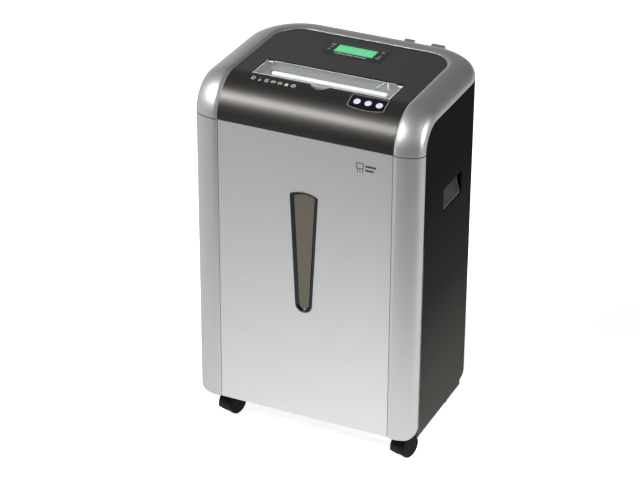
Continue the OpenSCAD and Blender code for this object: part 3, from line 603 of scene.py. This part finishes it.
def mark(name, parts, place, lift, material, slot, body):
    """Prints flat shapes on a surface; place maps (x, y, height) to the object's frame."""
    verts, faces = join(*parts)
    top = [place(x, y, lift) for x, y in verts]
    piece(name, top, faces, material, slot, body, edge=0, solid=False)


def sheet_mark():
    """A page with shreds falling from it."""
    return join(frame_of(0, 1.1, 3.4, 2.8, 0.4), *[stroke([(x, -0.6), (x, -2.4)], 0.36) for x in (-1.3, 0, 1.3)])


def arrow_mark(up):
    s = 1 if up else -1
    return join(stroke([(0, -2.2 * s), (0, 2.2 * s)], 0.5),
                stroke([(-1.5, 0.7 * s), (0, 2.3 * s), (1.5, 0.7 * s)], 0.5))


def page_mark():
    return join(frame_of(0, 0, 3.2, 4.2, 0.4), stroke([(-0.9, 0.8), (0.9, 0.8)], 0.35),
                stroke([(-0.9, -0.4), (0.9, -0.4)], 0.35))


def disc_mark():
    return join(ring(0, 0, 2.1, 0.42), ring(0, 0, 0.7, 0.4))


def card_mark():
    return join(frame_of(0, 0, 4.4, 3, 0.4), stroke([(-2, 0.5), (2, 0.5)], 0.7))


def stop_mark():
    return join(ring(0, 0, 2.2, 0.45), stroke([(-1.5, -1.5), (1.5, 1.5)], 0.45))


def hand_mark():
    fingers = [stroke([(x, -2), (x, tip)], 0.5) for x, tip in ((-1.4, 0.8), (-0.5, 2), (0.5, 1.8), (1.4, 0.6))]
    return join(*fingers, stroke([(-1.5, -2), (1.5, -2)], 0.5))


def power_mark():
    return join(ring(0, 0, 1.9, 0.5, 125, 415), stroke([(0, 0.3), (0, 2.5)], 0.5))


def door_mark():
    return join(frame_of(0, 0, 3.6, 3.6, 0.42), stroke([(-0.6, -1.8), (-0.6, 1.8)], 0.36))


def heat_mark():
    return join(stroke([(0, 0), (0, 2.2)], 0.5), ring(0, -1.1, 1.1, 0.5))


def on_curve(x, s, lift, angle):
    """A point of the hood's front curve: s is measured up along it from a given angle, in millimetres."""
    a = math.radians(angle) + s * MM / FACE_R
    r = FACE_R + lift
    return Vector((x * MM, ARC_Y - r * math.cos(a), ARC_Z + r * math.sin(a)))


PICTO_LEFT, PICTO_RIGHT = -108.5, -39.0
PICTO_ANGLE = 73.8
PICTO_SCALE = 1.5
SKIN_LIFT = 0.00008


def make_pictograms():
    """A row of small generic signs on the front curve, below the paper entry."""
    signs = [sheet_mark(), arrow_mark(False), page_mark(), card_mark(), disc_mark(), hand_mark(), stop_mark()]
    pitch = (PICTO_RIGHT - PICTO_LEFT) / (len(signs) - 1)
    parts = [shift(sign, PICTO_LEFT + pitch * i, 0, PICTO_SCALE) for i, sign in enumerate(signs)]
    mark("pictograms", parts, lambda x, y, h: on_curve(x, y, h, PICTO_ANGLE), 2 * SKIN_LIFT, INK,
         "white_plastic", "cabinet")


make_pictograms()


EMBLEM_X, EMBLEM_Z = 95, 531
EMBLEM_SIZE = 3.2


def make_emblem():
    """A plain emblem on the front's upper right: a page over shreds and two bars."""
    bar_x = EMBLEM_X + 10
    parts = [shift(sheet_mark(), EMBLEM_X, EMBLEM_Z, EMBLEM_SIZE),
             stroke([(bar_x, EMBLEM_Z + 4.5), (bar_x + 16, EMBLEM_Z + 4.5)], EMBLEM_SIZE),
             stroke([(bar_x, EMBLEM_Z - 2.5), (bar_x + 12, EMBLEM_Z - 2.5)], EMBLEM_SIZE)]
    mark("front_emblem", parts, lambda x, z, h: Vector((x * MM, FACE_Y - h, z * MM)), SKIN_LIFT, EMBLEM,
         "navy_gloss", "drawer")


make_emblem()


# ------------------------------------------------------------------ display

def rounded(x0, y0, x1, y1, r, n=8):
    """Corner-rounded rectangle, anticlockwise."""
    return (arc(x1 - r, y1 - r, r, 0, 90, n) + arc(x0 + r, y1 - r, r, 90, 180, n)
            + arc(x0 + r, y0 + r, r, 180, 270, n) + arc(x1 - r, y0 + r, r, 270, 360, n))


def ring_panel(outer, inner, levels):
    """A plate with a window: rows run over its top from the outer foot to the inner foot."""
    rows = [[Vector((ox + (ix - ox) * t, oy + (iy - oy) * t, z)) for (ox, oy), (ix, iy) in zip(outer, inner)]
            for t, z in levels]
    rows.append(rows[0])
    return skin(rows, caps=False)


SCREEN_X = (-0.0375, 0.030)
SCREEN_Y = (0.039, 0.067)
SIGNS_LEFT, SIGNS_RIGHT = -46, 39.5
PRINT_LIFT = 0.00005


def make_display():
    """The display's bezel, signs on both sides of the screen, dashes below it, and the screen's own marks."""
    (x0, y0, _), (x1, y1, _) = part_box("lcd_bezel")
    outer = rounded(x0, y0, x1, y1, 0.0015)
    inner = rounded(SCREEN_X[0], SCREEN_Y[0], SCREEN_X[1], SCREEN_Y[1], 0.0008)
    top = TOP_Z + 0.0003
    levels = [(0, TOP_Z - WALL), (0, top - 0.0004), (0.03, top), (0.97, top), (1, top - 0.0003), (1, TOP_Z - WALL)]
    piece("display_bezel", *ring_panel(outer, inner, levels), NAVY, "navy_gloss", "cabinet", ["lcd_bezel"], edge=0)

    def at(x, y, h):
        return Vector((x * MM, y * MM, top + h))

    left = [shift(sign, SIGNS_LEFT, y, size) for sign, y, size in
            ((card_mark(), 63, 1.25), (page_mark(), 54, 1.15), (power_mark(), 42, 1.5))]
    right = [shift(sign, SIGNS_RIGHT, y, size) for sign, y, size in
             ((door_mark(), 65, 1.0), (heat_mark(), 57.5, 1.1), (disc_mark(), 50, 1.2), (stop_mark(), 41, 1.5))]
    dashes = [rect(x, 32.6, w * 1.1, 2.0) for x, w in
              ((-30, 3.4), (-25.4, 2.2), (-21, 3.4), (-16, 3), (-11.4, 2.2), (-7.4, 3), (-2.6, 3), (2, 2.2),
               (6.6, 3.2), (11.8, 2.8), (16.2, 2.2), (20.6, 3.2))]
    mark("display_marks", left + right + dashes, at, PRINT_LIFT, INK, "white_plastic", "cabinet")
    glass = TOP_Z - 0.0002
    bars = [rect(-33 + 1.9 * i, 42.2, 1.2, 0.9) for i in range(12)]
    frame_line = [frame_of(-3.75, 53, 64, 24.4, 0.35)]
    mark("screen_marks", bars + frame_line, lambda x, y, h: Vector((x * MM, y * MM, glass + h)), PRINT_LIFT,
         SCREEN_INK, "screen", "cabinet")


make_display()


# ------------------------------------------------------------------ flap

FLAP_HW = 118.0
FLAP_FRONT = -90.0
HINGE_Y = -35.2
FLAP_TOP = TOP_Z - 0.0004
TAB_HW = 15.0
TAB_D = 4.5
RIB_LENGTH = 22
HINGE_TAB_W = 14


def make_flap_edges():
    """Pale lines on the clear flap's edges and its two ribs: painted highlights where they would catch the light.
    """
    tab_r = (TAB_HW ** 2 + TAB_D ** 2) / (2 * TAB_D)
    half = math.degrees(math.asin(TAB_HW / tab_r))
    tab = arc(0, FLAP_FRONT - TAB_D + tab_r + 0.6, tab_r, 270 - half, 270 + half, 14)
    front = [(0.7 - FLAP_HW, FLAP_FRONT + 0.6)] + tab + [(FLAP_HW - 0.7, FLAP_FRONT + 0.6)]
    rear = [(HINGE_TAB_W - FLAP_HW, HINGE_Y - 0.7), (FLAP_HW - HINGE_TAB_W, HINGE_Y - 0.7)]

    def at(x, y, h):
        return Vector((x * MM, y * MM, FLAP_TOP + h))

    ribs = []
    root = HINGE_Y - 3.5
    for x, turn in ((86, -12), (92, 25)):
        a = math.radians(turn - 90)
        ribs.append(stroke([(x, root), (x + RIB_LENGTH * math.cos(a), root + RIB_LENGTH * math.sin(a))], 1.3))

    def side_lines(inset, start, width):
        return [stroke([(s * (FLAP_HW - inset), FLAP_FRONT + start), (s * (FLAP_HW - inset), HINGE_Y - 3)], width)
                for s in (-1, 1)]

    bright = [stroke(front, 1.2), stroke(rear, 1.4)] + side_lines(1.9, 1.5, 0.8) + ribs
    mark("flap_edges", bright, at, SKIN_LIFT, EDGE, "clear_flap", "flap")
    # dark lines along the flap's side edges: painted shade
    mark("flap_side_edges", side_lines(0.6, 0.6, 1.2), at, 0.00006, NAVY, "clear_flap", "flap")


make_flap_edges()


SIDES = ((-1, "left"), (1, "right"))
GLINT_TOP = 400
GRIP_LEAN = 0.27
GRIP_LOW, GRIP_HIGH = 0.4295, 0.469
GRIP_FRONT, GRIP_REAR = -0.0495, 0.027


def make_panel_edges():
    """Pale lines along the front and the bottom of the two side panels: painted highlights on their edges."""
    front = CROWN_Y + BAND_DROP + 0.0024
    low = FLOOR_GAP + 0.0018
    line = [((CORNER_Y - 0.001) / MM, low / MM), (front / MM, low / MM), (front / MM, GLINT_TOP)]
    for side, name in SIDES:
        mark(name + "_panel_edge", [stroke(line, 0.8)],
             lambda y, z, h, s=side: Vector((s * (HALF_W + h), y * MM, z * MM)),
             SKIN_LIFT, PAINTED_GLINT, "black_shell", "cabinet")


def make_grip_edges():
    """A pale line along the rear edge of each grip pocket's leaning back and along its lower lip: painted
    highlights.
    """
    skin_x = HALF_W - WALL
    lip, back = GRIP_LOW / MM + 0.8, GRIP_REAR / MM - 0.6
    line = [(GRIP_FRONT / MM + 1, lip), (back, lip), (back, GRIP_HIGH / MM + 3)]
    for side, name in SIDES:
        def at(u, v, h, s=side):
            # u runs backwards and v upwards over the leaning back
            return Vector((s * (skin_x - GRIP_LEAN * (v * MM - GRIP_LOW) + h), u * MM, v * MM))

        mark(name + "_grip_edge", [stroke(line, 1.1)], at, 0.00012, PAINTED_GLINT, "black_shell", "cabinet")


make_panel_edges()
make_grip_edges()


# ------------------------------------------------------------------ key panel

KEY_X = [0.0717, 0.0904, 0.1091]
KEY_ANGLE = 70.5
KEY_S = -0.0027
KEY_R = 0.0065
LENS_R = KEY_R - 0.0009
LENS_EDGE_R = 0.0009
KEY_FOOT = -0.0025
SIGN_SCALE = 0.62


def key_frame(x):
    """Maps a key's own (x, y, height above the curve) to the object's frame."""
    a = math.radians(KEY_ANGLE)
    out = Vector((0, -math.cos(a), math.sin(a)))
    along = Vector((0, math.sin(a), math.cos(a)))

    def place(dx, dy, h):
        return Vector((x + dx, ARC_Y, ARC_Z)) + out * (FACE_R + h) + along * (KEY_S + dy)

    return place


def make_keys():
    """Three round keys: a pale dished lens in a dark collar, with a small sign on it and a stem behind it."""
    signs = {"stop": rect(0, 0, 2.8, 2.8), "reverse": arrow_mark(True), "forward": arrow_mark(False)}
    crown = [(LENS_R, KEY_FOOT), (LENS_R, 0.0006)]
    for t in (25, 50, 75, 90):
        a = math.radians(t)
        crown.append((LENS_R - LENS_EDGE_R + LENS_EDGE_R * math.cos(a), 0.0006 + 0.0005 * math.sin(a)))
    crown += [(LENS_R * 0.7, 0.00115), (LENS_R * 0.4, 0.0011), (LENS_R * 0.15, 0.00105), (0, 0.00104)]
    collar = [(KEY_R, KEY_FOOT), (KEY_R, 0.0003), (KEY_R - 0.0002, 0.0005), (LENS_R, 0.0006),
              (LENS_R, KEY_FOOT), (KEY_R, KEY_FOOT)]
    stem = [(0.0025, -0.0095), (0.0025, -0.0024), (0, -0.0024)]
    for (name, sign), x in zip(signs.items(), KEY_X):
        place = key_frame(x)
        node, body = name + "_key", name + "_button"
        cap = join(revolve(crown, 48, place), revolve(stem, 24, place))
        piece(node + "_cap", *cap, KEY, "key_lens", body, [node], edge=0)
        piece(node + "_collar", *revolve(collar, 48, place), PITCH, "navy_gloss", body, edge=0)
        mark(node + "_sign", [shift(sign, 0, 0, SIGN_SCALE)],
             lambda u, v, h, p=place: p(u * MM, v * MM, 0.00118 + h), 0.00002, INK_KEY, "key_lens", body)


make_keys()


PANEL_X = 0.0892
PANEL_HW = 0.0305
PANEL_TOP, PANEL_LOW = 0.0120, -0.0169
PANEL_CORNER = 0.0022
PANEL_SAG = 0.0044
FINE_STEPS = 4


def make_key_panel():
    """Grey outline printed round the key panel's curved plate, whose lower edge bows down."""
    soften(NODES["key_bezel"], 0.0003, 40)
    low_r = (0.0312 ** 2 + PANEL_SAG ** 2) / (2 * PANEL_SAG)
    half = math.degrees(math.asin(PANEL_HW / low_r))
    left, right = PANEL_X - PANEL_HW + PANEL_CORNER, PANEL_X + PANEL_HW - PANEL_CORNER
    top = arc(left, PANEL_TOP - PANEL_CORNER, PANEL_CORNER, 180, 90, 4)
    top += arc(right, PANEL_TOP - PANEL_CORNER, PANEL_CORNER, 90, 0, 4)
    low = arc(PANEL_X, low_r + PANEL_LOW, low_r, 270 + half - 1.3, 270 - half + 1.3, 18)
    flank_x, flank_y = PANEL_HW - 0.0001, low[0][1] + 0.0012
    line = top + [(PANEL_X + flank_x, flank_y)] + low + [(PANEL_X - flank_x, flank_y), top[0]]
    fine = [(ax + (bx - ax) * i / FINE_STEPS, ay + (by - ay) * i / FINE_STEPS)
            for (ax, ay), (bx, by) in zip(line, line[1:]) for i in range(FINE_STEPS)] + [line[-1]]
    part = stroke([(x / MM, y / MM) for x, y in fine], 1.3)
    mark("key_outline", [part], lambda x, y, h: on_curve(x, y, h, KEY_ANGLE), 0.00062, INK_LINE,
         "grey_plastic", "cabinet")


make_key_panel()


# ------------------------------------------------------------------ casters

WHEEL_R = 0.020
TRAIL = 0.010
WEB = 0.0036
TREAD = 0.0088
AXLE_R = 0.003
HOOD_GAP = 0.0010
HOOD_START, HOOD_SWEEP, HOOD_STEPS = -12, 172, 32
HOOD_THIN_FROM = 22
# swivel x and y, and the turn of the caster at rest in degrees
SWIVELS = {"fl": (-0.153, -0.115, 166), "fr": (0.161, -0.115, 166), "rl": (-0.154, 0.063, 190),
           "rr": (0.154, 0.063, 190)}


def caster_place(tag):
    """Maps a caster's own x (axle), y (travel) and z to the object's frame."""
    x, y, turn = SWIVELS[tag]
    turned = Matrix.Translation((x, y, 0)) @ Matrix.Rotation(math.radians(turn), 4, "Z")
    return lambda a, b, c: turned @ Vector((a, b, c))


def wheel_part(place, sign):
    """One wheel: a rounded tread and a stepped disc face."""
    a0 = WEB + 0.0006
    a1 = a0 + TREAD
    profile = [(0.0031, a0), (WHEEL_R - 0.0016, a0), (WHEEL_R - 0.0005, a0 + 0.0005), (WHEEL_R, a0 + 0.0016),
               (WHEEL_R, a1 - 0.0020), (WHEEL_R - 0.0003, a1 - 0.0010), (WHEEL_R - 0.0011, a1 - 0.0003),
               (WHEEL_R - 0.0021, a1), (WHEEL_R * 0.80, a1), (WHEEL_R * 0.78, a1 - 0.0007),
               (WHEEL_R * 0.74, a1 - 0.0008), (WHEEL_R * 0.70, a1 - 0.0002), (WHEEL_R * 0.30, a1 - 0.0001),
               (WHEEL_R * 0.26, a1 - 0.0006), (WHEEL_R * 0.12, a1 - 0.0006), (0, a1 - 0.0005)]
    return revolve(profile, 64, lambda u, v, h: place(sign * h, -TRAIL + u, WHEEL_R + v))


def hood_part(place):
    """Arched cover over both wheels, with rounded shoulders."""
    half = WEB + 0.0006 + TREAD
    across = [(-half, 0.0012), (-half, 0.0026), (-half + 0.0010, 0.0034), (-half * 0.5, 0.0038), (0, 0.0039),
              (half * 0.5, 0.0038), (half - 0.0010, 0.0034), (half, 0.0026), (half, 0.0012)]
    rows = []
    for i in range(HOOD_STEPS + 1):
        a = math.radians(HOOD_START + HOOD_SWEEP * i / HOOD_STEPS)
        thin = 1 - 0.45 * max(0, (i - HOOD_THIN_FROM) / (HOOD_STEPS - HOOD_THIN_FROM))
        row = []
        for x, d in across:
            r = WHEEL_R + HOOD_GAP + d * thin
            row.append(place(x, -TRAIL + r * math.cos(a), WHEEL_R + r * math.sin(a)))
        rows.append(row)
    return skin(rows)


def web_part(place):
    """The flat web between the wheels, which carries the axle."""
    line = arc(-TRAIL, WHEEL_R, 0.0075, 200, 340, 14) + arc(-TRAIL, WHEEL_R, WHEEL_R + 0.0016, -8, 150, 24)
    low = [place(-WEB + 0.0002, y, z) for y, z in line]
    high = [place(WEB - 0.0002, y, z) for y, z in line]
    return skin([low, high])


def stem_part(place):
    """The swivel stem with its washer, up into the socket."""
    top = FLOOR_GAP - 0.001
    profile = [(0, 0.036), (0.0085, 0.0365), (0.0098, 0.040), (0.0100, top - 0.0035), (0.0094, top - 0.0030),
               (0.0094, top - 0.0018), (0.0106, top - 0.0014), (0.0106, top - 0.0002), (0.0100, top), (0.005, top),
               (0.005, FLOOR_GAP + 0.022), (0.0042, FLOOR_GAP + 0.0228), (0, FLOOR_GAP + 0.0228)]
    return revolve(profile, 40, lambda u, v, h: place(u, v, h))


def make_caster(tag):
    place = caster_place(tag)
    reach = WEB + 0.001
    axle = revolve([(0, -reach), (AXLE_R, -reach), (AXLE_R, reach), (0, reach)], 24,
                   lambda u, v, h: place(h, -TRAIL + u, WHEEL_R + v))
    wheels = join(wheel_part(place, 1), wheel_part(place, -1), axle)
    piece("wheels_" + tag + "_pair", *wheels, TYRE, "tyre", "wheels_" + tag, ["caster_" + tag + "_wheels"],
          edge=0)
    housing = join(hood_part(place), web_part(place), stem_part(place))
    piece("caster_" + tag + "_hood", *housing, CASTER, "caster_black", "caster_" + tag,
          ["caster_" + tag + "_housing"], edge=0.0003)


for tag in SWIVELS:
    make_caster(tag)


# ------------------------------------------------------------------ softened CAD pieces

SOFT = {0.0006: ["top_cover", "front_fascia", "left_side_panel", "right_side_panel", "rear_cover"],
        0.0004: ["left_grip_cup", "right_grip_cup", "rear_lugs", "safety_flap", "feed_funnel", "waste_bin",
                 "power_inlet"],
        0.0003: ["deck", "base_plate", "bin_rails", "left_cutter_plate", "right_cutter_plate", "gearbox_plate",
                 "motor", "control_board", "lcd_module", "power_rocker", "cooling_fan", "front_stripper",
                 "rear_stripper"],
        0.0002: ["front_sync_gear", "rear_sync_gear", "final_gear", "intermediate_gear", "motor_pinion",
                 "cover_screws", "caster_sockets"]}
for width, names in SOFT.items():
    for name in names:
        soften(NODES[name], width, 40)


# ------------------------------------------------------------------ stage and light

FLOOR_HALF = 14
GLOW_RADII = (0.24, 0.18)


def make_floor():
    """A light table: it glows under the object and at the back, and fades towards the front and the right."""
    mesh = bpy.data.meshes.new("floor")
    bm = bmesh.new()
    bmesh.ops.create_grid(bm, x_segments=2, y_segments=2, size=FLOOR_HALF)
    bm.to_mesh(mesh)
    bm.free()
    floor = bpy.data.objects.new("floor", mesh)
    SCENE.collection.objects.link(floor)
    f = Finish("floor", (0.86, 0.86, 0.86), 0.9)
    tree = f.tree
    split = split_xyz(tree, f.coord)
    # the floor's colour darkens from the back to the front: painted shade on the floor
    f.tone(f.spread(split["Y"], 0.3, 0.7, -1.4, -0.5), 0.0)
    tree.nodes["Color Ramp"].color_ramp.elements[0].color = (0.42, 0.42, 0.42, 1)

    # away grows towards the back left; the wide glow rises, dips behind the object and rises again
    away = math_node(tree, "MULTIPLY_ADD", split["X"], -0.9, split["Y"])
    rise = f.spread(away, 0.0, 0.72, -1.25, -0.6)
    dip = f.spread(away, 0.0, 0.2, -0.5, -0.2)
    back = f.spread(away, 0.0, 0.3, 0.25, 0.7)
    wide = math_node(tree, "ADD", math_node(tree, "SUBTRACT", rise, dip), back)
    footprint = tree.nodes.new("ShaderNodeMapping")
    footprint.inputs["Scale"].default_value = (1 / GLOW_RADII[0], 1 / GLOW_RADII[1], 0)
    f.link(f.coord, footprint.inputs["Vector"])
    distance = tree.nodes.new("ShaderNodeVectorMath")
    distance.operation = "LENGTH"
    f.link(footprint.outputs["Vector"], distance.inputs[0])
    near = f.spread(distance.outputs["Value"], 0.33, 0.0, 0.8, 1.2)
    f.link(math_node(tree, "ADD", wide, near), f.p.inputs["Emission Strength"])
    f.p.inputs["Emission Color"].default_value = (1, 1, 1, 1)
    mesh.materials.append(f.m)


def area_light(name, at, target, size, power, spread=180, tilt=0):
    """A rectangular light aimed at a point; spread and tilt are in degrees."""
    data = bpy.data.lights.new(name, "AREA")
    data.shape = "RECTANGLE"
    data.size, data.size_y = size
    data.energy = power
    data.spread = math.radians(spread)
    light = bpy.data.objects.new(name, data)
    light.location = at
    aim = (Vector(target) - Vector(at)).to_track_quat("-Z", "Y")
    light.rotation_euler = (aim @ Quaternion((0, 0, 1), math.radians(tilt))).to_euler()
    SCENE.collection.objects.link(light)


def make_world():
    """A studio: bright on the left, dim on the right, a pale backdrop behind on the left, a dimmer ceiling."""
    world = bpy.data.worlds.new("studio")
    SCENE.world = world
    world.use_nodes = True
    tree = world.node_tree
    split = split_xyz(tree, tree.nodes.new("ShaderNodeTexCoord").outputs["Generated"])
    ramp = three_stop_ramp(tree, (0.80, 0.80, 0.80), 0.45, (0.26, 0.26, 0.262), (0.06, 0.06, 0.062))
    tree.links.new(map_range(tree, split["X"], 0.0, 1.0, -1, 1), ramp.inputs["Fac"])
    tree.links.new(ramp.outputs["Color"], tree.nodes["Background"].inputs["Color"])
    behind = map_range(tree, split["Y"], 0.0, 1.4, 0.45, 0.75)
    left = map_range(tree, split["X"], 1.0, 0.0, -0.55, -0.1)
    low_down = map_range(tree, split["Z"], 1.0, 0.0, 0.12, 0.38)
    backdrop = math_node(tree, "MULTIPLY", math_node(tree, "MULTIPLY", behind, left), low_down)
    ceiling = map_range(tree, split["Z"], 1.0, 0.72, 0.3, 0.5)
    tree.links.new(math_node(tree, "ADD", backdrop, ceiling), tree.nodes["Background"].inputs["Strength"])


make_floor()
make_world()
area_light("key", (-1.15, -1.56, 2.0), (0, -0.1, 0.5), (1.8, 0.75), 12.5, 50, tilt=10)
area_light("right", (2.3, -0.3, 1.4), (0.15, -0.05, 0.45), (0.6, 1.4), 9, 60)

SCENE.view_settings.view_transform = "Standard"
